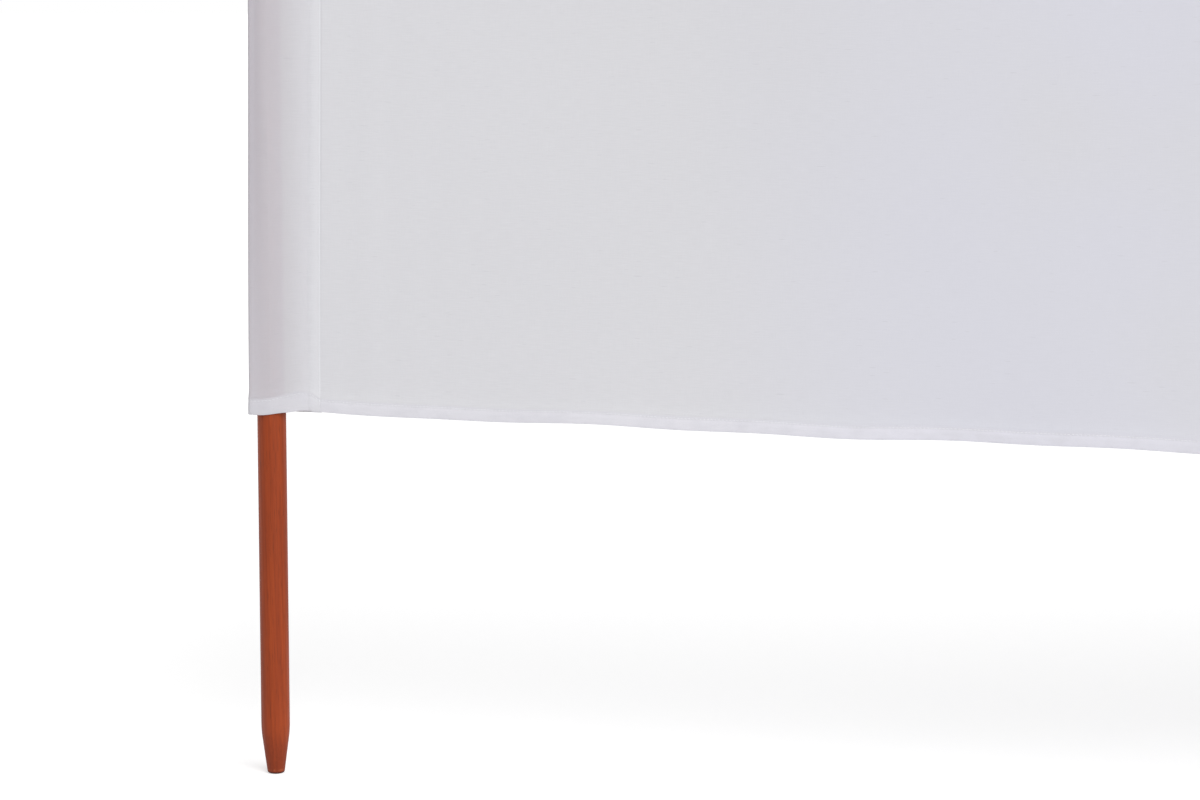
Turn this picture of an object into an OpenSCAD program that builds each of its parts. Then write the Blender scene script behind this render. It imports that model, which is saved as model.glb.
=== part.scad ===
// Beach windbreak: one long hemmed strip of cloth on pointed poles that stand in pockets
// sewn across it. It is set out in a zigzag, with a bay of cloth between each two poles.
// The origin is the middle of the blunt tip of the centre pole. +X runs along the row,
// -Y is the front and +Z is up. Lengths are in millimetres and angles in degrees.

/* [Run] */
// Number of bays of cloth
bays = 4; // [2:2:6]
// Distance between neighbouring poles, along a bay
pole_pitch = 1200; // [800:10:1500]
// Angle between a bay and the line of the run
zigzag = 18; // [0:1:30]

/* [Poles] */
// Diameter of a pole
pole_d = 28; // [22:1:40]
// Length of a pole from its tip to its top
pole_l = 1200; // [1050:10:1600]
// Length of the tapered point
tip_l = 43; // [25:1:90]
// Diameter of the blunt end of the point
tip_d = 16.5; // [10:0.5:20]
// Length of pole over which the taper of the point sets in
shoulder_l = 14; // [4:1:20]
// Radius round the blunt end of the point
tip_edge = 2.5; // [1:0.5:4]
// Radius round the top of a pole
top_edge = 4; // [1:0.5:8]

/* [Cloth] */
// Height of the cloth with its hems
cloth_h = 800; // [500:10:900]
// Thickness of one layer of cloth
cloth_t = 0.8; // [0.5:0.1:1.5]
// Bare length of pole above the cloth
top_bare = 42; // [15:1:80]
// Height of a hem
hem_h = 13; // [8:1:30]
// Layers of cloth in a folded hem
hem_layers = 3; // [2:1:4]

/* [Pockets] */
// Gap between a pole and the cloth round it
fit = 0.3; // [0.1:0.1:0.6]
// Slack from a pole to the outer fold of an end pocket
fold_slack = 8; // [4:1:25]
// Slack from a pole to the seam that closes its pocket
seam_slack = 28; // [12:1:50]
// Width of the seam, where the layers are sewn flat together
seam_w = 9.5; // [4:0.5:20]

/* [Hidden] */
pole_r = pole_d / 2;
tip_r = tip_d / 2;
pocket_r = pole_r + fit;
fold_reach = pole_r + fold_slack;
tunnel_reach = pole_r + seam_slack;
seam_reach = tunnel_reach + seam_w;
hem_t = hem_layers * cloth_t;
cloth_z = pole_l - top_bare - cloth_h;
panel_w = pole_pitch - 2 * seam_reach;
panel_h = cloth_h - 2 * hem_h;

// Turn between two points round a pole, on a small rounded edge and on the shoulder of a point
arc_step = 6;
edge_step = 18;
shoulder_step = 2;
// Sides that a preview gives a round pole
pole_sides = 64;
half_turn = 180;
full_turn = 2 * half_turn;

wood = [0.59, 0.27, 0.165];
white_cloth = [0.85, 0.85, 0.87];

function numbered(name, first, last) = [for (i = [first : last]) str(name, i)];

// Setting out: poles are counted from 0 at the left end, and bay k runs from pole k to k + 1.
middle = bays / 2;
function is_forward(k) = abs(k - middle) % 2 == 1;
function pole_x(k) = (k - middle) * pole_pitch * cos(zigzag);
function pole_y(k) = is_forward(k) ? -pole_pitch * sin(zigzag) : 0;
function bay_angle(k) = is_forward(k) ? zigzag : -zigzag;

module at_pole(k) {
    translate([pole_x(k), pole_y(k), 0]) children();
}

module along_bay(k) {
    at_pole(k) rotate([0, 0, bay_angle(k)]) translate([seam_reach, 0, cloth_z]) children();
}

function unit(a) = [cos(a), sin(a)];
function reversed(list) = [for (i = [len(list) - 1 : -1 : 0]) list[i]];
function arc(centre, r, a, b, step) =
    let (steps = max(1, ceil(abs(b - a) / step)))
    [for (i = [0 : steps]) centre + r * unit(a + (b - a) * i / steps)];

// Pole: a turned dowel with a tapered point, a soft shoulder above the taper and a blunt tip.
tip_slope = atan((pole_r - tip_r) / tip_l);
tip_edge_x = tip_r - tip_edge * (1 - sin(tip_slope)) / cos(tip_slope);
shoulder_z = tip_l + shoulder_l / 2;
shoulder_r = shoulder_l / 2 / tan(tip_slope / 2);

function pole_profile() = concat(
    [[0, 0]],
    arc([tip_edge_x, tip_edge], tip_edge, -90, -tip_slope, edge_step),
    arc([pole_r - shoulder_r, shoulder_z], shoulder_r, -tip_slope, 0, shoulder_step),
    arc([pole_r - top_edge, pole_l - top_edge], top_edge, 0, 90, edge_step),
    [[0, pole_l]]
);

module pole(k) {
    color(wood) at_pole(k) rotate_extrude($fn = pole_sides) polygon(pole_profile());
}

// Bay: the single layer of cloth between two seams and two hems.
module bay(k) {
    color(white_cloth) along_bay(k)
        translate([0, -cloth_t / 2, hem_h])
            cube([panel_w, cloth_t, panel_h]);
}

// Hem: the edge of a bay folded over on itself, with its round fold at the bottom.
module hem() {
    fold_r = hem_t / 2;
    fold = arc([0, fold_r], fold_r, half_turn, full_turn, edge_step);
    profile = concat([[fold_r, hem_h], [-fold_r, hem_h]], fold);
    rotate([90, 0, 90]) linear_extrude(panel_w) polygon(profile);
}

module bottom_hem(k) {
    color(white_cloth) along_bay(k) hem();
}

module top_hem(k) {
    color(white_cloth) along_bay(k) translate([0, 0, cloth_h]) mirror([0, 0, 1]) hem();
}

// Pocket: in plan, each layer of cloth leaves one lobe, wraps round the pole and closes in the
// other lobe. A lobe is [its angle, how far the hollow reaches into it]. A seam ends each lobe but
// the outer one of an end pocket, which is a fold.
function next_lobe(k) =
    k < bays ? [bay_angle(k), tunnel_reach] : [bay_angle(k - 1), fold_reach];
function last_lobe(k) =
    k > 0 ? [bay_angle(k - 1) + half_turn, tunnel_reach] : [bay_angle(k) + half_turn, fold_reach];
function turned(lobe) = [lobe[0] + full_turn, lobe[1]];

function lobe_point(lobe, along, across) = along * unit(lobe[0]) + across * unit(lobe[0] + 90);

// Angle from a lobe to where its cloth first touches the pole
function contact(lobe) = acos(pocket_r / lobe[1]);

// Cloth that stays clear of the pole inside a sharp bend goes straight from lobe to lobe
function wrapped(r, from, to) =
    let (a = from[0] + contact(from), b = to[0] - contact(to))
    b > a ? arc([0, 0], r, a, b, arc_step) : [];

// The two sides of the cloth in a seam. side is 1 on the left of the lobe and -1 on its right.
function seam_inside(lobe) = [lobe_point(lobe, seam_reach, 0), lobe_point(lobe, lobe[1], 0)];
function seam_outside(lobe, t, side) =
    let (
        apex = lobe[1] * (pocket_r + t) / pocket_r,
        seam_start = apex - t * tan(contact(lobe))
    )
    [lobe_point(lobe, seam_reach, side * t), lobe_point(lobe, seam_start, side * t)];

// The outer side of a fold, round which the cloth keeps its thickness
function fold_outside(lobe, t) =
    let (a = lobe[0] - contact(lobe), b = lobe[0] + contact(lobe))
    arc(lobe_point(lobe, lobe[1], 0), t, a, b, edge_step);

// A layer that runs from one seam, past the pole, to another seam
function layer_outline(from, to, t) = concat(
    seam_outside(from, t, 1),
    wrapped(pocket_r + t, from, to),
    reversed(seam_outside(to, t, -1)),
    seam_inside(to),
    reversed(wrapped(pocket_r, from, to)),
    reversed(seam_inside(from))
);

// A layer that runs from a seam, round the pole by way of a fold, back to the same seam
function loop_outside(seam, fold, t) = concat(
    seam_outside(seam, t, 1),
    wrapped(pocket_r + t, seam, fold),
    fold_outside(fold, t),
    wrapped(pocket_r + t, fold, turned(seam)),
    reversed(seam_outside(seam, t, -1))
);
function loop_inside(seam, fold) = concat(
    [lobe_point(seam, seam[1], 0)],
    wrapped(pocket_r, seam, fold),
    [lobe_point(fold, fold[1], 0)],
    wrapped(pocket_r, fold, turned(seam))
);

module layer(from, to, t) {
    polygon(layer_outline(from, to, t));
}

module loop(seam, fold, t) {
    difference() {
        polygon(loop_outside(seam, fold, t));
        polygon(loop_inside(seam, fold));
    }
}

// Heights at which the hemmed rims of a pocket start, above the bottom of the cloth
rims = [0, cloth_h - hem_h];

module pocket_layer(k, from, to) {
    at_pole(k) translate([0, 0, cloth_z]) {
        linear_extrude(cloth_h) layer(from, to, cloth_t);
        for (z = rims) translate([0, 0, z]) linear_extrude(hem_h) layer(from, to, hem_t);
    }
}

// The long strip of cloth itself, where it passes in front of a pole
module pocket_front(k) {
    color(white_cloth) pocket_layer(k, last_lobe(k), turned(next_lobe(k)));
}

// The short strip sewn on behind a pole
module pocket_back(k) {
    color(white_cloth) pocket_layer(k, next_lobe(k), last_lobe(k));
}

// The end of the long strip, folded back round the last pole and sewn to itself
module end_pocket(k) {
    seam = k == 0 ? next_lobe(k) : last_lobe(k);
    fold = k == 0 ? last_lobe(k) : turned(next_lobe(k));
    color(white_cloth) at_pole(k) translate([0, 0, cloth_z]) {
        linear_extrude(cloth_h) loop(seam, fold, cloth_t);
        for (z = rims) translate([0, 0, z]) linear_extrude(hem_h) loop(seam, fold, hem_t);
    }
}

for (k = [0 : bays]) pole(k);
for (k = [0 : bays - 1]) bay(k);
for (k = [0 : bays - 1]) top_hem(k);
for (k = [0 : bays - 1]) bottom_hem(k);
for (k = [0, bays]) end_pocket(k);
for (k = [1 : bays - 1]) pocket_front(k);
for (k = [1 : bays - 1]) pocket_back(k);
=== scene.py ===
from math import asin, atan2, ceil, cos, hypot, pi, radians, sin, tan

import bpy
import numpy as np
from mathutils import Matrix, Vector


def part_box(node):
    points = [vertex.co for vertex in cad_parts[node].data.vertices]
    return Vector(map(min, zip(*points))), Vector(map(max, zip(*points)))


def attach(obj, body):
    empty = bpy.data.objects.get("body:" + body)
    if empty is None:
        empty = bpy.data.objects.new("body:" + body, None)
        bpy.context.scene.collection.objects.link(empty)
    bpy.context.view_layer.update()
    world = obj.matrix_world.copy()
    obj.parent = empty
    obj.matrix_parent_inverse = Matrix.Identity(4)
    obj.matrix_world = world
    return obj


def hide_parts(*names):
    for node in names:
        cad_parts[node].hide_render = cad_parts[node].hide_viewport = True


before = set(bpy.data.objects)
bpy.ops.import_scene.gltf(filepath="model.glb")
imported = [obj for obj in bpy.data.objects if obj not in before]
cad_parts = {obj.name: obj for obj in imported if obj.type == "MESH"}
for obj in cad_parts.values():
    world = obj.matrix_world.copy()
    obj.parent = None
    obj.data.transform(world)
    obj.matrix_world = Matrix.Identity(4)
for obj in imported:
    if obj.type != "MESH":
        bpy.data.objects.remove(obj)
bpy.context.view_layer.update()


# Poles: softwood dowels turned to a tapered, blunt point and eased round the top, then stained
# red-brown and given a thin satin varnish. They stand upright, each in its pocket in the cloth.
pole_radius = 0.014
tip_radius = 0.00825
tip_length = 0.043
tip_edge = 0.0025
shoulder_radius = 0.12
top_edge = 0.004
pole_sides = 64
pole_nodes = sorted(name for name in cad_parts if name.startswith("pole_"))
pole_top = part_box(pole_nodes[0])[1].z

# The tree's pith beside the first pole, how far it leans, and the change from pole to pole
pith = np.array((0.026, 0.011, 0))
pith_change = np.array((0.004, -0.007, 0))
lean = np.array((0.02, -0.012, 0))
lean_change = np.array((0, 0.006, 0))
spin_change = 1.9


def foot_of(node):
    """Middle of a pole in plan."""
    low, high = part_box(node)
    return np.array(((low.x + high.x) / 2, (low.y + high.y) / 2))


def rounded(corners, steps=6):
    """An outline through (x, y, radius) corners, with an arc of that radius in each corner."""
    points = [corners[0][:2]]
    for before, corner, after in zip(corners, corners[1:], corners[2:]):
        here = np.array(corner[:2])
        back = np.array(before[:2]) - here
        ahead = np.array(after[:2]) - here
        back /= np.linalg.norm(back)
        ahead /= np.linalg.norm(ahead)
        half = np.arccos(np.clip(back @ ahead, -1, 1)) / 2
        middle = (back + ahead) / np.linalg.norm(back + ahead)
        centre = here + middle * corner[2] / sin(half)
        start = here + back * corner[2] / tan(half) - centre
        end = here + ahead * corner[2] / tan(half) - centre
        sweep = pi - 2 * half
        for share in np.linspace(0, 1, steps + 1):
            arm = (sin((1 - share) * sweep) * start + sin(share * sweep) * end) / sin(sweep)
            points.append(tuple(centre + arm))
    points.append(corners[-1][:2])
    return points


def turned(profile, sides):
    """Points and faces of a (radius, height) profile that starts and ends on the axis."""
    rings = profile[1:-1]
    angles = np.linspace(0, 2 * pi, sides, endpoint=False)
    points = [(r * cos(a), r * sin(a), z) for r, z in rings for a in angles]
    faces = [
        (i * sides + j, i * sides + (j + 1) % sides,
         (i + 1) * sides + (j + 1) % sides, (i + 1) * sides + j)
        for i in range(len(rings) - 1)
        for j in range(sides)
    ]
    bottom = len(points)
    last = (len(rings) - 1) * sides
    points += [(0, 0, profile[0][1]), (0, 0, profile[-1][1])]
    faces += [(bottom, (j + 1) % sides, j) for j in range(sides)]
    faces += [(bottom + 1, last + j, last + (j + 1) % sides) for j in range(sides)]
    return np.array(points), faces


def add_piece(name, points, faces, material, **values):
    """A smooth mesh object in the frame, with one named value or vector for each of its points."""
    mesh = bpy.data.meshes.new(name)
    mesh.from_pydata(np.asarray(points).tolist(), [], np.asarray(faces, object).tolist())
    mesh.polygons.foreach_set("use_smooth", np.ones(len(mesh.polygons), bool))
    mesh.materials.append(material)
    for key, value in values.items():
        kind, field = ("FLOAT", "value") if value.ndim == 1 else ("FLOAT_VECTOR", "vector")
        layer = mesh.attributes.new(key, kind, "POINT")
        layer.data.foreach_set(field, value.astype(np.float32).ravel())
    piece = bpy.data.objects.new(name, mesh)
    bpy.context.scene.collection.objects.link(piece)
    return piece


def srgb(red, green, blue):
    """A colour as it looks on a screen, from 0 to 255, as the linear values that a shader takes."""
    share = np.array((red, green, blue)) / 255
    linear = np.where(share <= 0.04045, share / 12.92, ((share + 0.055) / 1.055) ** 2.4)
    return (*linear, 1.0)


class Socket:
    """An output in a node tree. Arithmetic with it adds the Math nodes that work the value out."""

    def __init__(self, tree, output=None):
        self.tree = tree
        self.output = output

    def node(self, kind, settings=(), sockets=(), out=0):
        """A new node: its settings are made first, then its sockets are set or linked."""
        new = self.tree.nodes.new("ShaderNode" + kind)
        for key, value in dict(settings).items():
            setattr(new, key, value)
        for key, value in dict(sockets).items():
            if isinstance(value, Socket):
                self.tree.links.new(value.output, new.inputs[key])
            else:
                new.inputs[key].default_value = value
        return Socket(self.tree, new.outputs[out] if new.outputs else None)

    def math(self, operation, first, second=0.0):
        """A Math node on one or two values."""
        return self.node("Math", {"operation": operation}, {0: first, 1: second})

    def __add__(self, other):
        return self.math("ADD", self, other)

    def __radd__(self, other):
        return self.math("ADD", other, self)

    def __sub__(self, other):
        return self.math("SUBTRACT", self, other)

    def __rsub__(self, other):
        return self.math("SUBTRACT", other, self)

    def __mul__(self, other):
        return self.math("MULTIPLY", self, other)

    def __rmul__(self, other):
        return self.math("MULTIPLY", other, self)

    def __truediv__(self, other):
        return self.math("DIVIDE", self, other)

    def __rtruediv__(self, other):
        return self.math("DIVIDE", other, self)

    def rise(self, start, end):
        """0 up to start and 1 from end on, with a smooth rise between them."""
        limits = {"Value": self, "From Min": start, "From Max": end}
        return self.node("MapRange", {"interpolation_type": "SMOOTHSTEP"}, limits)

    def band(self, start, full, fading, end):
        """0 up to start, 1 from full to fading and 0 again from end on, with smooth slopes."""
        return self.rise(start, full) * (1 - self.rise(fading, end))

    def blend(self, first, second):
        """A colour that goes from first to second as this value goes from 0 to 1."""
        return self.node("Mix", {"data_type": "RGBA"}, {0: self, 6: first, 7: second}, out=2)

    def stretched(self, *scale):
        """This vector times a scale for each axis."""
        return self.node("VectorMath", {"operation": "MULTIPLY"}, {0: self, 1: scale})

    def noise(self, detail=2.0):
        """Noise of about unit size at this vector."""
        return self.node("TexNoise", {}, {"Vector": self, "Scale": 1.0, "Detail": detail})

    def bump(self, distance, strength):
        """A normal for this height, where a height of 1 stands that distance proud."""
        return self.node("Bump", {}, {"Height": self, "Distance": distance, "Strength": strength})

    def value(self, name, out="Fac"):
        """A value that the mesh carries for each of its points."""
        return self.node("Attribute", {"attribute_name": name}, out=out)


def new_material(name):
    """A material with an empty node tree."""
    material = bpy.data.materials.new(name)
    material.use_nodes = True
    material.node_tree.nodes.clear()
    return material, Socket(material.node_tree)


def stained_wood():
    """Straight-grained softwood: growth rings, fibres and pores under a red-brown stain.

    The noises are stretched by how many of their marks fit in a metre, across and along the grain.
    """
    material, make = new_material("stained_wood")
    deep_stain = srgb(138, 53, 17)
    light_stain = srgb(152, 61, 21)
    late_brown = srgb(123, 47, 16)
    streak_orange = srgb(169, 71, 27)
    fibre_brown = srgb(116, 46, 18)
    pore_brown = srgb(86, 36, 16)
    cut_brown = srgb(117, 45, 22)
    bare_wood_and_highlight = srgb(174, 92, 56)
    end_brown = srgb(56, 22, 12)
    ring_gap = 0.0036
    ring_waver = 0.005
    turning_pitch = 0.0012
    lit_wear_low = 0.0026
    lit_wear_high = 0.0056
    lit_wear_fade = 0.0008
    tip_end = 0.0026
    top_end = 0.0016
    relief_depth = 0.0001

    grain = make.value("grain", out="Vector")
    height = make.node("SeparateXYZ", {}, {0: grain}, out=2)
    from_pith = grain.stretched(1, 1, 0)
    distance = make.node("VectorMath", {"operation": "LENGTH"}, {0: from_pith}, out=1)
    waver = grain.stretched(60, 60, 2.5).noise()
    streak = grain.stretched(330, 330, 4).noise()
    fibre = grain.stretched(1300, 1300, 22).noise()
    blotch = grain.stretched(40, 40, 7).noise()
    pore = grain.stretched(1700, 1700, 60).noise(detail=0.0).rise(0.66, 0.76)
    ring = make.math("FRACT", (distance + ring_waver * waver) / ring_gap)
    late_wood = ring.band(0.2, 0.85, 0.85, 1.0)
    cut = 1 - height.rise(0.4 * tip_length, 1.2 * tip_length)
    turning = cut * (0.5 + 0.5 * make.math("SINE", height * (2 * pi / turning_pitch)))
    # The pale band just above the point's rounded edge: partly real wear to bare wood, partly a
    # painted highlight along that edge.
    worn_and_highlit = height.band(lit_wear_low, lit_wear_low + lit_wear_fade, lit_wear_high - 2 * lit_wear_fade, lit_wear_high)
    tip_grain = 1 - height.rise(tip_end / 2, tip_end)
    top_grain = height.rise(pole_top - top_end, pole_top - top_end / 4)

    stain = blotch.rise(0.3, 0.7).blend(deep_stain, light_stain)
    stain = (0.35 * late_wood).blend(stain, late_brown)
    stain = (0.45 * streak.rise(0.42, 0.72)).blend(stain, streak_orange)
    stain = (0.3 * fibre.rise(0.4, 0.75)).blend(stain, fibre_brown)
    stain = (0.4 * pore).blend(stain, pore_brown)
    stain = (0.5 * cut).blend(stain, cut_brown)
    stain = (0.5 * worn_and_highlit * streak.rise(0.35, 0.6)).blend(stain, bare_wood_and_highlight)
    stain = (0.12 * turning * fibre.rise(0.3, 0.6)).blend(stain, pore_brown)
    stain = (0.8 * tip_grain + 0.45 * top_grain).blend(stain, end_brown)
    relief = 0.6 * fibre + 0.4 * late_wood - 0.8 * pore + 0.5 * turning
    surface = {
        "Base Color": stain,
        "Roughness": 0.42 + 0.14 * fibre + 0.06 * late_wood + 0.1 * cut,
        "Specular IOR Level": 0.22,
        "Coat Weight": 0.04,
        "Coat Roughness": 0.25,
        "Normal": relief.bump(relief_depth, 0.5),
    }
    make.node("OutputMaterial", {}, {"Surface": make.node("BsdfPrincipled", {}, surface)})
    return material


feet = np.array([foot_of(node) for node in pole_nodes])
pole_profile = rounded([
    (0, 0, 0),
    (tip_radius, 0, tip_edge),
    (pole_radius, tip_length, shoulder_radius),
    (pole_radius, pole_top, top_edge),
    (0, pole_top, 0),
])
pole_points, pole_faces = turned(pole_profile, pole_sides)
wood = stained_wood()
for count, (node, foot) in enumerate(zip(pole_nodes, feet)):
    spin = np.array(Matrix.Rotation(spin_change * count, 3, "Z"))
    tilt = (lean + lean_change * count) * pole_points[:, 2:]
    grain = pole_points @ spin + (pith + pith_change * count) + tilt
    place = pole_points + np.append(foot, 0)
    piece = add_piece(f"turned_{node}", place, pole_faces, wood, grain=grain)
    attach(piece, "root")
    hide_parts(node)


# Long strip: one length of thin white plain-woven cloth that passes in front of every pole. Its
# top and bottom edges are folded over twice and sewn as hems. Each end goes round the outside of
# the end pole and back, and its raw edge is turned under where it is sewn down.
ply = 0.00045
hem_height = 0.013
hem_easing = 0.010
stitch_height = 0.0112
stitch_lift = 1.3 * ply
seam_start = 0.042
seam_end = 0.0515
fold_reach = 0.0157
fold_forward = 0.0176
fold_radius = 0.0015
crease_radius = 0.012
pocket_radius = pole_radius + ply
cloth_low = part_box("bottom_hem_1")[0].z
cloth_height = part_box("top_hem_1")[1].z - cloth_low

# Poles are counted from the left, and each end pole is listed with the pole next to it
bays = len(feet) - 1
left_end = 0
right_end = bays
ends = ((left_end, left_end + 1), (right_end, right_end - 1))
middle_poles = range(left_end + 1, right_end)

# Distances between points of the mesh, and how finely it follows a bend
pocket_step = 0.0032
panel_step = 0.0095
row_step = 0.011
bend_fineness = 1.5
least_bend_steps = 4


def beside(pole, toward, along, out):
    """A point in plan: along the bay from one pole toward another, and out in front of it."""
    run = (feet[toward] - feet[pole]) / np.linalg.norm(feet[toward] - feet[pole])
    front = np.array((run[1], -run[0])) * np.sign(toward - pole)
    return feet[pole] + run * along + front * out


def turned_edge(pole, toward):
    """Pulleys for a raw edge that is turned under in the seam beside a pole, from the edge in."""
    return [
        (*beside(pole, toward, seam_start, 0), 0),
        (*beside(pole, toward, seam_end - ply / 2, -ply / 2), ply / 2),
    ]


def back_crease(pole, toward):
    """Pulley for the bend where the cloth behind a pole leaves its seam."""
    return (*beside(pole, toward, seam_start, -ply - crease_radius), -crease_radius)


def front_crease(pole, toward):
    """Pulley for the bend where the cloth in front of a pole leaves its seam."""
    return (*beside(pole, toward, seam_start, ply + crease_radius), -crease_radius)


def round_pole(pole):
    """Pulley for the pole itself, which the cloth keeps on its left."""
    return (*feet[pole], pocket_radius)


def outer_fold(pole, toward):
    """Pulley for the outer fold of an end pocket."""
    return (*beside(pole, toward, fold_radius - fold_reach, fold_forward), fold_radius)


def straight_run(first, second):
    """Heading of the run between two pulleys, and the points where it leaves and meets them."""
    away = second[:2] - first[:2]
    heading = atan2(away[1], away[0]) - asin((second[2] - first[2]) / hypot(*away))
    left = np.array((-sin(heading), cos(heading)))
    return heading, first[:2] - first[2] * left, second[:2] - second[2] * left


def turn_at(before, pulley, after):
    """How far a band turns at a pulley. A turn to the left is over 0."""
    turn = straight_run(pulley, after)[0] - straight_run(before, pulley)[0]
    least = -pi / 2 if pulley[2] > 0 else -3 * pi / 2
    return (turn - least) % (2 * pi) + least


class Plan:
    """A band of cloth seen from above, drawn taut round (x, y, radius) pulleys.

    A pulley on the left of the band has a radius over 0. The outside of the cloth is on its right.
    A pulley that the taut band would pass clear of is left out.
    """

    def __init__(self, pulleys):
        pulleys = [np.array(pulley) for pulley in pulleys]
        clear = [
            i for i in range(1, len(pulleys) - 1)
            if turn_at(*pulleys[i - 1 : i + 2]) * pulleys[i][2] < 0
        ]
        pulleys = [pulley for i, pulley in enumerate(pulleys) if i not in clear]
        points = []
        headings = []
        for i, (first, second) in enumerate(zip(pulleys, pulleys[1:])):
            heading, start, end = straight_run(first, second)
            length = np.linalg.norm(end - start)
            steps = ceil(length / (panel_step if length > 2 * seam_end else pocket_step))
            for share in np.linspace(0, 1, steps + 1):
                points.append(start + share * (end - start))
                headings.append(heading)
            if i + 2 < len(pulleys):
                turn = turn_at(first, second, pulleys[i + 2])
                steps = ceil(abs(turn * second[2]) / pocket_step * bend_fineness)
                steps = max(least_bend_steps, steps)
                for angle in heading + turn * np.arange(1, steps) / steps:
                    points.append(second[:2] - second[2] * np.array((-sin(angle), cos(angle))))
                    headings.append(angle)
        self.points = np.array(points)
        self.outward = np.stack((np.sin(headings), -np.cos(headings)), axis=1)
        self.along = np.append(0, np.linalg.norm(np.diff(self.points, axis=0), axis=1).cumsum())

    def at(self, along):
        """Points in plan and outward normals at distances along the band."""
        spread = [np.interp(along, self.along, self.points[:, i]) for i in (0, 1)]
        normal = [np.interp(along, self.along, self.outward[:, i]) for i in (0, 1)]
        return np.stack(spread, -1), np.stack(normal, -1)

    def nearest(self, point):
        """Distance along the band to where it passes closest to a point."""
        along = np.arange(0, self.along[-1], ply)
        gap = np.linalg.norm(self.at(along)[0] - point, axis=1)
        return along[gap.argmin()]


def arc(centre, radius, start, end, steps):
    """Points round an arc, with angles in degrees."""
    angles = np.radians(np.linspace(start, end, steps + 1))
    return [(centre[0] + radius * cos(a), centre[1] + radius * sin(a)) for a in angles]


# The hem in section as (lift off the inside of the cloth, height), from the raw edge inside its
# folds to where it meets the single cloth above
hem_section = np.array([
    (ply, 0.003),
    (ply, 0.0075),
    *arc((ply / 2, hem_height - ply / 2), ply / 2, 0, 180, 3),
    (0, 0.0105),
    (0, 0.0075),
    (0, 0.004),
    *arc((ply, ply), ply, 180, 360, 6),
    (2.1 * ply, 0.003),
    (2.2 * ply, 0.006),
    (2.0 * ply, 0.0092),
    (stitch_lift, stitch_height),
    (1.6 * ply, hem_height),
    (1.1 * ply, hem_height + 0.25 * hem_easing),
    (0.35 * ply, hem_height + 0.6 * hem_easing),
    (0, hem_height + hem_easing),
])
hem_bottom = hem_section[:, 1].argmin()
open_height = cloth_height - 2 * (hem_height + hem_easing)
open_rows = np.linspace(0, 1, ceil(open_height / row_step) + 1)[1:-1]
open_section = np.stack((0 * open_rows, hem_section[-1, 1] + open_rows * open_height), axis=1)
top_section = hem_section[::-1] * (1, -1) + (0, cloth_height)
cloth_section = np.concatenate((hem_section, open_section, top_section))


def face_of_hem(height):
    """How far the outside of the cloth stands forward at a height, hems included."""
    from_edge = np.minimum(height, cloth_height - height)
    outside = hem_section[hem_bottom:]
    return np.interp(from_edge, outside[:, 1], outside[:, 0])


def lay_out(plan, settle, along, lift, height):
    """Points on a band of cloth at distances along it, lifts off its inside and heights up it."""
    spot, outward = plan.at(along)
    spot, hang = settle(spot, outward, along, height)
    flat = spot + outward * lift[:, None]
    return np.column_stack((flat, cloth_low + height - hang))


def sewn_sheet(name, plan, settle, material):
    """A hemmed band of cloth on its plan.

    It carries each point's distance along it, height up it, and gap from the nearest pole. Past an
    end pole the gap is below 0, and counts from the pole's middle.
    """
    columns = len(plan.along)
    rows = len(cloth_section)
    along = np.repeat(plan.along, rows)
    lift, height = np.tile(cloth_section, (columns, 1)).T
    points = lay_out(plan, settle, along, lift, height)
    corner = np.arange((columns - 1) * rows).reshape(columns - 1, rows)[:, :-1].ravel()
    faces = np.stack((corner, corner + rows, corner + rows + 1, corner + 1), axis=1)
    from_pole = np.linalg.norm(plan.points[:, None] - feet, axis=2).min(axis=1) - pole_radius
    past_end = np.maximum(feet[0, 0] - plan.points[:, 0], plan.points[:, 0] - feet[-1, 0])
    gap = np.repeat(np.where(past_end > 0, -past_end, from_pole), rows)
    return add_piece(name, points, faces, material, along=along, height=height, gap=gap)


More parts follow.
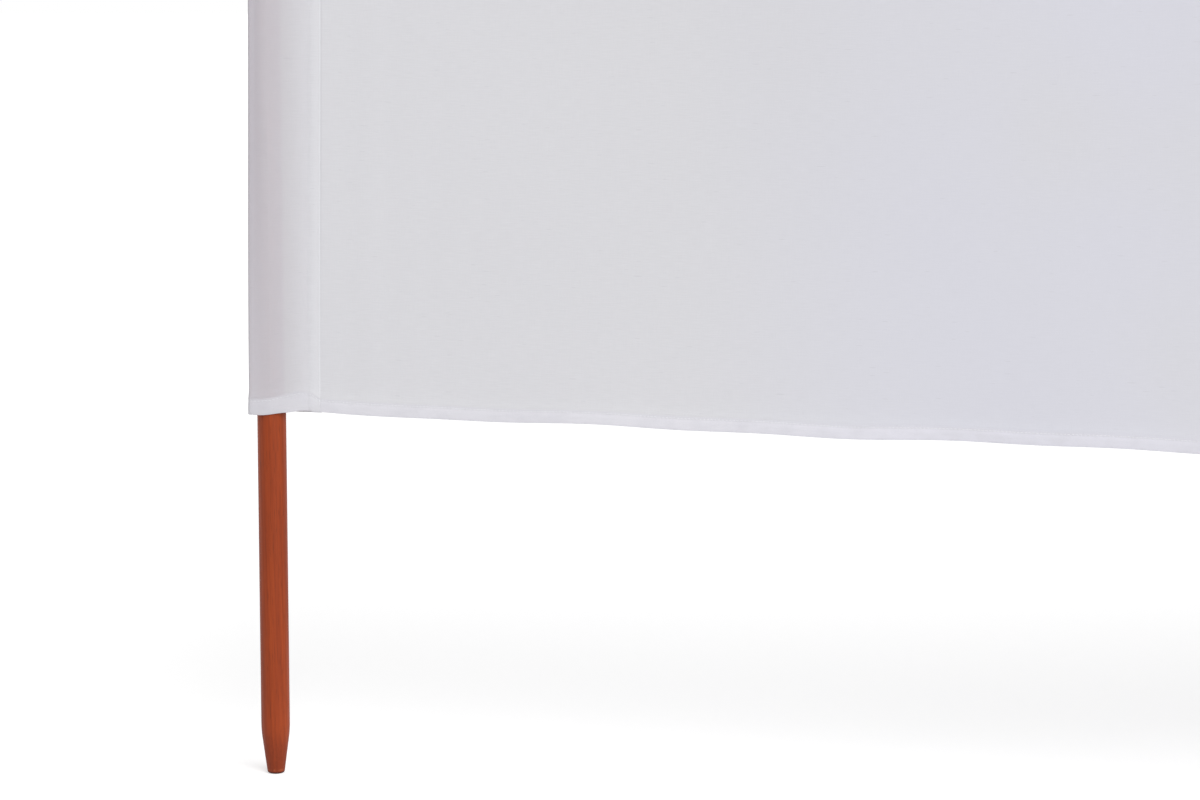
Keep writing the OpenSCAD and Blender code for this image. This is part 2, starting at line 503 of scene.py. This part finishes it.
def woven_cloth():
    """Thin white cloth: a fine plain weave with slubs, through which light and poles show.

    Where layers are sewn together less light comes through, so that hems and seams are paler. The
    noises are stretched by how many of their marks fit in a metre, along the cloth and up it.
    """
    material, make = new_material("woven_cloth")
    thin_white = srgb(226, 226, 230)
    thick_white = srgb(233, 233, 237)
    cool_light_white = srgb(228, 229, 245)
    knot_grey = srgb(196, 195, 202)
    hem_white = srgb(238, 236, 244)
    ridge_highlight_white = srgb(238, 237, 241)
    pucker_grey = srgb(224, 223, 230)
    groove_shade_grey = srgb(206, 205, 211)
    sleeve_shade_grey = srgb(204, 201, 207)
    pole_shade_grey = srgb(206, 196, 208)
    fold_shade_grey = srgb(150, 143, 155)
    light_through = srgb(236, 234, 238)
    thread_pitch = 0.0006
    weave_depth = 0.00008
    tint_turns = 3.7
    tint_start = 1.9
    seam_gap = seam_start - pole_radius
    edge_gap = seam_end - pole_radius
    soft_edge = 0.001
    sharp_edge = 0.0003
    ridge_width = 0.0125
    groove_width = 0.002
    double_start = 0.008
    sleeve_start = 0.004
    shown_start = 0.0038
    shown_end = 0.0072

    along = make.value("along")
    height = make.value("height")
    gap = make.value("gap")
    place = make.node("CombineXYZ", {}, {0: along, 1: height})
    warp = make.math("SINE", along * (2 * pi / thread_pitch))
    weft = make.math("SINE", height * (2 * pi / thread_pitch))
    slub = place.stretched(70, 1100, 1).noise()
    warp_slub = place.stretched(1100, 70, 1).noise()
    knot = place.stretched(80, 700, 1).noise(detail=0.0).rise(0.79, 0.86)
    patch = place.stretched(2.2, 2.2, 1).noise()
    pucker = place.stretched(45, 60, 1).noise()
    tint = make.math("SINE", tint_turns * along - tint_start)
    # Painted cool tint of light: it comes and goes in slow waves along the strip, broken up by
    # patches.
    cool_light_tint = tint.rise(0.0, 1.0) * patch.rise(0.2, 0.55)
    thickness = 0.5 * slub + 0.25 * warp_slub + 0.25 * patch

    # Up the cloth: its hems, painted shade by their rows of stitches, and where hems are palest
    to_edge = make.math("MINIMUM", height, cloth_height - height)
    hem = 1 - to_edge.rise(hem_height - soft_edge, hem_height + soft_edge)
    hem_line_shade = to_edge.rise(stitch_height - soft_edge, stitch_height) * hem
    on_panel = 0.45 * gap.rise(edge_gap - 2 * soft_edge, edge_gap + 2 * soft_edge)
    far_along = 0.22 * gap.rise(edge_gap, 20 * edge_gap)
    pale_hem = hem * (0.4 + on_panel + far_along)

    # Across a pocket: the seam with a painted highlight on its raised edge, painted shade in the
    # groove past it, on the double cloth, in the sleeve and at the outer fold, and the pole that
    # shows through, partly its own tint and partly painted shade where it keeps light out
    before_edge = 1 - gap.rise(edge_gap - sharp_edge, edge_gap + sharp_edge)
    seam = gap.rise(seam_gap - 4 * soft_edge, seam_gap + soft_edge) * before_edge
    sewn = make.math("MAXIMUM", hem, seam)
    # Painted highlight on the seam's raised edge, weaker on the hems.
    ridge_highlight = gap.rise(edge_gap - ridge_width, edge_gap - 1.5 * soft_edge) * before_edge
    ridge_highlight = ridge_highlight * (1 - 0.6 * hem)
    groove_end = edge_gap + groove_width
    # Painted shade in the groove just past the seam's edge, fading out near the hems.
    groove_shade = gap.band(edge_gap - sharp_edge, edge_gap, groove_end - 0.4 * groove_width, groove_end)
    seam_groove_shade = groove_shade * to_edge.rise(0.03, 0.25)
    double_cloth_shade = gap.rise(double_start, seam_gap) * before_edge
    sleeve_shade = 1 - gap.rise(sleeve_start, seam_gap)
    # The pole seen through the cloth: partly its own tint, partly painted shade where it keeps out
    # the light from behind.
    shown_pole_shade = (1 - gap.rise(shown_start, shown_end)) * (1 - 0.8 * hem)
    # Painted shade at the outer fold of an end pocket, weaker towards the hems.
    fold_shade = (0 - gap).rise(0.0, 0.7 * fold_reach) * to_edge.rise(-0.1, 0.35)

    white = thickness.rise(0.3, 0.7).blend(thin_white, thick_white)
    white = (0.5 * cool_light_tint).blend(white, cool_light_white)
    white = (0.3 * knot).blend(white, knot_grey)
    white = (0.6 * pale_hem).blend(white, hem_white)
    white = (0.32 * ridge_highlight).blend(white, ridge_highlight_white)
    white = (0.4 * hem * pucker.rise(0.4, 0.7)).blend(white, pucker_grey)
    white = (0.15 * hem_line_shade + 0.3 * seam_groove_shade).blend(white, groove_shade_grey)
    # Painted shade in the sleeve, and on the double cloth beside the pole.
    sleeve_shade_share = (0.28 + 0.05 * hem) * sleeve_shade + 0.13 * double_cloth_shade * (1 - ridge_highlight)
    white = sleeve_shade_share.blend(white, sleeve_shade_grey)
    white = (0.25 * shown_pole_shade).blend(white, pole_shade_grey)
    white = (0.22 * fold_shade).blend(white, fold_shade_grey)
    weave = 0.5 * warp * weft + 0.7 * slub + 0.5 * warp_slub + 4 * sewn * pucker
    surface = {
        "Base Color": white,
        "Roughness": 0.85,
        "Specular IOR Level": 0.2,
        "Sheen Weight": 0.1,
        "Sheen Roughness": 0.5,
        "Normal": weave.bump(weave_depth, 0.6),
    }
    blocked = make.math("MAXIMUM", 0.2 * pale_hem, 0.05 * double_cloth_shade + 0.15 * seam)
    sides = {
        0: 0.33 - 0.06 * slub - blocked,
        1: make.node("BsdfPrincipled", {}, surface),
        2: make.node("BsdfTranslucent", {}, {"Color": light_through}),
    }
    make.node("OutputMaterial", {}, {"Surface": make.node("MixShader", {}, sides)})
    return material


strip_pulleys = [
    *turned_edge(left_end, left_end + 1),
    back_crease(left_end, left_end + 1),
    round_pole(left_end),
    outer_fold(left_end, left_end + 1),
    round_pole(left_end),
]
for pole in middle_poles:
    strip_pulleys += [
        front_crease(pole - 1, pole),
        front_crease(pole, pole - 1),
        round_pole(pole),
    ]
strip_pulleys += [
    front_crease(right_end - 1, right_end),
    front_crease(right_end, right_end - 1),
    round_pole(right_end),
    outer_fold(right_end, right_end - 1),
    round_pole(right_end),
    back_crease(right_end, right_end - 1),
    *turned_edge(right_end, right_end - 1)[::-1],
]
strip_plan = Plan(strip_pulleys)
panels = [
    (strip_plan.nearest(beside(k, k + 1, seam_end, ply)),
     strip_plan.nearest(beside(k + 1, k, seam_end, ply)))
    for k in range(bays)
]

# How loose the cloth of each bay is, where its waves start, and how soon it is free past a seam
slack = (0.35, 1.0, 0.8, 1.1)
phases = (0.4, 2.1, 3.3, 5.0)
seam_freedom = 4

# A bay bellies back, most at mid height, with a slow fold that drags across it
belly_depth = 0.014
belly_at_hems = 0.6
drag_depth = 0.004
drag_across = 1.6
drag_up = 0.8

# Folds fan out from the corners of a bay, and are weaker at the bottom
swag_depth = 0.006
swag_reach = 0.2
swag_start = 0.09
swag_turns = 9
low_swag = 0.3
far_twist = 2.6

# Upright ripples lie beside the seams, and sway a little as they go up
ripple_depth = 0.0014
ripple_pitch = 0.045
ripple_fade = 0.07
ripple_sway = 5

# A hem waves up and down in long and short waves, and to and fro, and droops between its poles
hem_wave = 0.0011
hem_fade = 0.05
long_waves = 17
short_waves = 41
short_share = 0.6
cross_waves = 29
cross_share = 0.8
top_droop = 0.010
low_droop = 0.0015

# Along an end pocket, as (distance out from the seam, amount): how far its bottom edge hangs down,
# and what share of its hem's height is tucked up
sleeve_hang = (
    (-0.12, 0), (-0.03, -0.0007), (0, -0.0012), (0.008, -0.002), (0.020, -0.002), (0.034, -0.0003),
    (0.058, 0.0021), (0.078, 0.0012), (0.100, 0.0012), (0.135, 0.0004), (0.155, -0.0006),
)
sleeve_fade = 0.12
hem_tuck = ((0, 0), (0.010, 0.42), (0.022, 0.50), (0.050, 0.22), (0.078, 0.14), (0.110, 0))
tuck_fade = 0.03

# Above its bottom hem an end pocket slips inwards, most a little over mid height, as (distance
# inwards from its pole, share of the slip)
slip = 0.0048
slip_share = ((-fold_reach, 1), (-0.004, 0), (0.010, 0), (seam_start, 1), (seam_end, 1), (0.4, 0))
slip_rise = 0.8


def eased(place, curve):
    """A smooth curve through (place, value) points, level at each of them."""
    spots, values = np.array(curve).T
    start = np.clip(np.searchsorted(spots, place) - 1, 0, len(spots) - 2)
    share = np.clip((place - spots[start]) / (spots[start + 1] - spots[start]), 0, 1)
    return values[start] + share ** 2 * (3 - 2 * share) * (values[start + 1] - values[start])


def strip_settle(spot, outward, along, height):
    """Where points of the strip's taut plan come to rest, and how far they hang below their cut."""
    level = height / cloth_height
    from_edge = np.minimum(height, cloth_height - height)
    forward = 0 * along
    hang = 0 * along
    for ease, phase, (start, end) in zip(slack, phases, panels):
        share = np.clip((along - start) / (end - start), 0, 1)
        loose = np.sin(pi * share)
        inside = np.minimum(seam_freedom * loose, 1)
        from_seam = (end - start) * np.minimum(share, 1 - share)
        belly = belly_at_hems + (1 - belly_at_hems) * np.sin(pi * level)
        forward -= ease * belly_depth * loose * belly
        drag = np.sin(2 * pi * (drag_across * share + drag_up * level) + phase)
        forward += ease * drag_depth * loose * drag
        ripple = np.sin(2 * pi * from_seam / ripple_pitch + np.sin(ripple_sway * level + phase))
        near_seam = np.exp(-from_seam / ripple_fade) * np.minimum(from_seam / ripple_pitch, 1)
        forward += ease * ripple_depth * near_seam * ripple
        for pull, drop in ((1, cloth_height - height), (low_swag, height)):
            for twist, across in ((1, share), (far_twist, 1 - share)):
                across = (end - start) * across
                reach = np.hypot(across, drop)
                angle = np.arctan2(drop, across)
                depth = pull * inside * np.exp(-reach / swag_reach) * reach / (reach + swag_start)
                swag = np.sin(swag_turns * angle + twist * phase) * np.sin(2 * angle)
                forward += ease * swag_depth * depth * swag
        short_wave = short_share * np.sin(short_waves * share + 2 * phase)
        wave = np.sin(long_waves * share + phase) + short_wave
        near_edge = np.exp(-from_edge / hem_fade) * inside
        forward += cross_share * hem_wave * near_edge * np.sin(cross_waves * share + phase)
        hang += hem_wave * near_edge * wave
        hang += loose * (low_droop + (top_droop - low_droop) * level)
    outside = np.maximum(panels[0][0] - along, along - panels[-1][1])
    hang += eased(outside, sleeve_hang) * np.exp(-height / sleeve_fade)
    above = np.exp(-np.maximum(height - hem_height, 0) / tuck_fade)
    hang -= eased(outside, hem_tuck) * np.minimum(height, hem_height) * above
    spot = spot + outward * forward[:, None]
    for pole, inward in ends:
        run = beside(pole, inward, 1, 0) - feet[pole]
        share = eased((spot - feet[pole]) @ run, slip_share)
        spot = spot + run * (slip * share * np.sin(slip_rise * pi * level) ** 2)[:, None]
        arm = spot - feet[pole]
        clear = pocket_radius / np.linalg.norm(arm, axis=1)
        spot = feet[pole] + arm * np.maximum(clear, 1)[:, None]
    return spot, hang


cloth = woven_cloth()
strip = sewn_sheet("long_strip", strip_plan, strip_settle, cloth)
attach(strip, "root")
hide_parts("end_pocket_1", f"end_pocket_{bays + 1}")
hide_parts(*[f"pocket_front_{k}" for k in range(2, bays + 1)])
for part in ("bay", "top_hem", "bottom_hem"):
    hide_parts(*[f"{part}_{k}" for k in range(1, bays + 1)])


# Pocket strips: short lengths of the same cloth, hemmed top and bottom and sewn on behind each
# middle pole with both side edges turned under, so that the pole stands in a sleeve.
def taut(spot, outward, along, height):
    """No slack: a pocket strip is held flat by its two seams and its pole."""
    return spot, 0 * along


pocket_plans = []
pocket_strips = []
for pole in middle_poles:
    plan = Plan([
        *turned_edge(pole, pole + 1),
        back_crease(pole, pole + 1),
        round_pole(pole),
        back_crease(pole, pole - 1),
        *turned_edge(pole, pole - 1)[::-1],
    ])
    piece = sewn_sheet(f"pocket_strip_{pole + 1}", plan, taut, cloth)
    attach(piece, "root")
    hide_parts(f"pocket_back_{pole + 1}")
    pocket_plans.append(plan)
    pocket_strips.append(piece)


# Stitching: rows of lockstitch in white polyester thread. One row runs along each hem close to its
# inner edge, and one row runs up each seam close to the edge that is turned under.
thread_radius = 0.00022
thread_sides = 5
stitch_pitch = 0.0036
stitch_length = 0.003
row_inset = 0.001
seam_row = seam_end - row_inset
run_step = 0.002

# Along a stitch: where its rings are, and how wide and how high they are in thread radii
ring_spots = np.array((0, 0.2, 0.8, 1))
ring_widths = np.array((0.5, 1, 1, 0.5))
ring_lifts = np.array((-0.9, 0.3, 0.3, -0.9))


def sampled(values, travel, where):
    """Points or normals of a run at distances along it."""
    return np.stack([np.interp(where, travel, column) for column in values.T], axis=-1)


def stitches(name, runs, parent, material):
    """Adds a piece with a stitch every pitch along runs of (points, outward normals)."""
    angles = 2 * pi * np.arange(thread_sides)[:, None] / thread_sides
    tubes = []
    for path, normals in runs:
        travel = np.append(0, np.linalg.norm(np.diff(path, axis=0), axis=1).cumsum())
        starts = np.arange(0, travel[-1] - stitch_length, stitch_pitch)
        where = starts[:, None] + stitch_length * ring_spots
        up = sampled(normals, travel, where)
        ahead = sampled(path, travel, where + ply) - sampled(path, travel, where - ply)
        side = np.cross(up, ahead)
        side /= np.linalg.norm(side, axis=-1, keepdims=True)
        middle = sampled(path, travel, where) + thread_radius * ring_lifts[:, None] * up
        ring = np.cos(angles) * side[:, :, None] + np.sin(angles) * up[:, :, None]
        tubes.append(middle[:, :, None] + thread_radius * ring_widths[:, None, None] * ring)
    points = np.concatenate(tubes)
    corner = np.arange(points[..., 0].size).reshape(points.shape[:3])
    neighbour = np.roll(corner, -1, axis=2)
    walls = np.stack((corner[:, :-1], neighbour[:, :-1], neighbour[:, 1:], corner[:, 1:]), axis=-1)
    caps = np.concatenate((corner[:, 0, ::-1], corner[:, -1]))
    faces = walls.reshape(-1, 4).tolist() + caps.tolist()
    piece = add_piece(name, points.reshape(-1, 3), faces, material)
    piece.parent = parent


def spun_thread():
    """White polyester thread, a little glossier than the cloth."""
    material, make = new_material("spun_thread")
    dull_thread = srgb(220, 220, 224)
    bright_thread = srgb(240, 240, 243)
    fibres = 2500
    place = make.node("TexCoord", out="Object")
    shade = place.stretched(fibres, fibres, fibres).noise()
    surface = {
        "Base Color": shade.blend(dull_thread, bright_thread),
        "Roughness": 0.5,
    }
    make.node("OutputMaterial", {}, {"Surface": make.node("BsdfPrincipled", {}, surface)})
    return material


def hem_row(plan, settle, start, end, height, lift, side):
    """A run along a hem, on the outside of the cloth for a side of 1 or its inside for -1."""
    along = np.arange(start, end, run_step)
    points = lay_out(plan, settle, along, 0 * along + lift, 0 * along + height)
    outward = plan.at(along)[1] * side
    return points, np.concatenate((outward, 0 * along[:, None]), axis=1)


def seam_run(plan, settle, along):
    """A run up a seam, on the outside of the cloth."""
    height = np.arange(run_step, cloth_height - run_step, run_step)
    place = 0 * height + along
    points = lay_out(plan, settle, place, face_of_hem(height), height)
    outward = plan.at(place)[1]
    return points, np.concatenate((outward, 0 * height[:, None]), axis=1)


thread = spun_thread()
row_start, row_end = (
    strip_plan.nearest(beside(pole, inward, seam_end - ply, -ply)) for pole, inward in ends
)
for name, height in (("bottom", stitch_height), ("top", cloth_height - stitch_height)):
    runs = [hem_row(strip_plan, strip_settle, row_start, row_end, height, stitch_lift, 1)]
    for start, end in panels:
        runs.append(hem_row(strip_plan, strip_settle, start, end, height, 0, -1))
    stitches(f"{name}_hem_stitching", runs, strip, thread)
seam_runs = []
for pole, inward in ends:
    for out in (ply, -ply):
        along = strip_plan.nearest(beside(pole, inward, seam_row, out))
        seam_runs.append(seam_run(strip_plan, strip_settle, along))
for pole in middle_poles:
    for neighbour in (pole - 1, pole + 1):
        along = strip_plan.nearest(beside(pole, neighbour, seam_row, ply))
        seam_runs.append(seam_run(strip_plan, strip_settle, along))
stitches("seam_stitching", seam_runs, strip, thread)
for pole, plan, piece in zip(middle_poles, pocket_plans, pocket_strips):
    neighbours = (pole - 1, pole + 1)
    runs = []
    for neighbour in neighbours:
        along = plan.nearest(beside(pole, neighbour, seam_row, -ply))
        runs.append(seam_run(plan, taut, along))
    start, end = sorted(plan.nearest(beside(pole, k, seam_end - ply, -ply)) for k in neighbours)
    for height in (stitch_height, cloth_height - stitch_height):
        runs.append(hem_row(plan, taut, start, end, height, stitch_lift, 1))
    stitches(f"pocket_stitching_{pole + 1}", runs, piece, thread)


# Studio: a wide pale floor under the points of the poles, a white surround and one broad lamp from
# the front right. The floor stays white to the camera and still takes the windbreak's shadow.
floor_reach = 60
floor_grey = (0.8, 0.8, 0.8, 1)
floor_glow = 0.42
surround_white = (1, 1, 1, 1)
surround_light = 0.54
lamp_strength = 2.1
lamp_spread = 50
lamp_from = Vector((0.53, -0.85, 0.72))


def seen(make):
    """1 for what the camera sees directly or mirrored, and 0 for light on its way to a surface."""
    camera, glossy, clear, scattered = (
        make.node("LightPath", out=name)
        for name in ("Is Camera Ray", "Is Glossy Ray", "Is Transmission Ray", "Is Diffuse Ray")
    )
    mirrored = make.math("MAXIMUM", glossy, clear * (1 - scattered))
    return make.math("MAXIMUM", camera, mirrored)


def pale_floor():
    """A matt pale floor with a little glow of its own for the camera, so that it reads as white."""
    material, make = new_material("pale_floor")
    matt = make.node("BsdfDiffuse", {}, {"Color": floor_grey})
    glow = make.node("Emission", {}, {"Strength": floor_glow * seen(make)})
    make.node("OutputMaterial", {}, {"Surface": make.node("AddShader", {}, {0: matt, 1: glow})})
    return material


floor_mesh = bpy.data.meshes.new("floor")
floor_corners = [(x, y, 0) for x, y in ((-1, -1), (1, -1), (1, 1), (-1, 1))]
floor_mesh.from_pydata(np.array(floor_corners) * floor_reach, [], [(0, 1, 2, 3)])
floor_mesh.materials.append(pale_floor())
floor = bpy.data.objects.new("floor", floor_mesh)
bpy.context.scene.collection.objects.link(floor)

surround = bpy.data.worlds.new("white_surround")
surround.use_nodes = True
surround.node_tree.nodes.clear()
make = Socket(surround.node_tree)
strength = surround_light + (1 - surround_light) * seen(make)
backdrop = make.node("Background", {}, {"Color": surround_white, "Strength": strength})
make.node("OutputWorld", {}, {"Surface": backdrop})
bpy.context.scene.world = surround

lamp_data = bpy.data.lights.new("broad_lamp", "SUN")
lamp_data.energy = lamp_strength
lamp_data.angle = radians(lamp_spread)
lamp = bpy.data.objects.new("broad_lamp", lamp_data)
lamp.rotation_euler = lamp_from.to_track_quat("Z", "Y").to_euler()
bpy.context.scene.collection.objects.link(lamp)


# Camera: stands in front of the first bay at about the cloth's middle height, and looks slightly
# down at the lower corner of the cloth and the bare end of the first pole.
lens = 100
sensor_width = 36
camera_right = 0.3182
camera_back = 3.203
camera_up = 0.78
camera_tilt = 7.315
camera_data = bpy.data.cameras.new("camera")
camera_data.sensor_width = sensor_width
camera_data.lens = lens
camera = bpy.data.objects.new("camera", camera_data)
camera.location = (feet[left_end][0] + camera_right, feet[left_end][1] - camera_back, camera_up)
camera.rotation_euler = (radians(90 - camera_tilt), 0, 0)
bpy.context.scene.collection.objects.link(camera)
bpy.context.scene.camera = camera
bpy.context.scene.view_settings.view_transform = "Standard"
